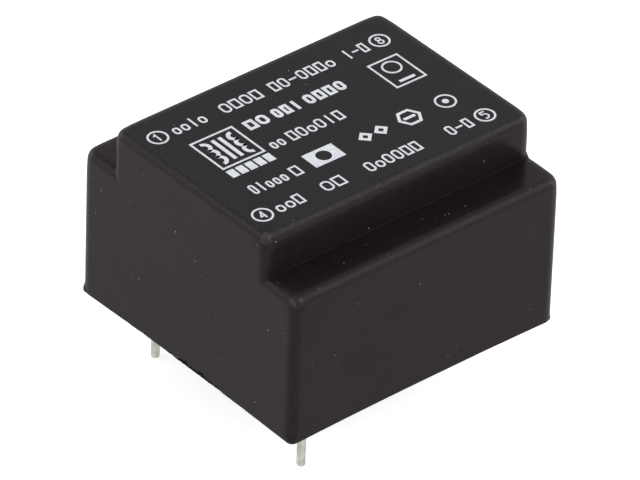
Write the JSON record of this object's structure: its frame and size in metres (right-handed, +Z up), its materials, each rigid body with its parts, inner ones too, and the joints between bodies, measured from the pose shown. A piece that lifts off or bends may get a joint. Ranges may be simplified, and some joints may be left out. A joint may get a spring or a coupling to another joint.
{
  "type": "pcb transformer",
  "caption": "Encapsulated transformer for a circuit board: charcoal moulded case with a raised middle block, white print on top and round tinned pins below.",
  "frame": {"origin": "middle of the seating plane, where the underside of the case meets the board", "axes": "+X along the shoulders and the print's reading direction, +Y across the shoulders towards the print's top, +Z up to the printed face"},
  "size_m": [0.023, 0.022, 0.0202],
  "materials": {
    "case": "fine moulded texture, charcoal",
    "ink": "flat white printing ink",
    "tinned_pin": "dull tin with fine drawing marks",
    "resin": "cast resin with a dull skin",
    "former": "glass-filled moulding, natural",
    "copper": "enamelled copper wire",
    "tape": "polyester film tape",
    "solder": "bright dipped solder",
    "core_steel": "silicon steel sheet with dull oxide"
  },
  "bodies": {
    "root": {"case": "case", "coil_former": "former", "e_lamination_01": "core_steel", "e_lamination_02": "core_steel", "e_lamination_03": "core_steel", "e_lamination_04": "core_steel", "e_lamination_05": "core_steel", "e_lamination_06": "core_steel", "e_lamination_07": "core_steel", "e_lamination_08": "core_steel", "e_lamination_09": "core_steel", "e_lamination_10": "core_steel", "e_lamination_11": "core_steel", "i_lamination_01": "core_steel", "i_lamination_02": "core_steel", "i_lamination_03": "core_steel", "i_lamination_04": "core_steel", "i_lamination_05": "core_steel", "i_lamination_06": "core_steel", "i_lamination_07": "core_steel", "i_lamination_08": "core_steel", "i_lamination_09": "core_steel", "i_lamination_10": "core_steel", "i_lamination_11": "core_steel", "pin_1": "tinned_pin", "pin_4": "tinned_pin", "pin_6": "tinned_pin", "pin_7": "tinned_pin", "potting_resin": "resin", "primary_lead_1": "copper", "primary_lead_4": "copper", "primary_tape": "tape", "primary_winding": "copper", "secondary_lead_6": "copper", "secondary_lead_7": "copper", "secondary_tape": "tape", "secondary_winding": "copper", "solder_1": "solder", "solder_4": "solder", "solder_6": "solder", "solder_7": "solder", "top_print": "ink"}
  },
  "joints": []
}
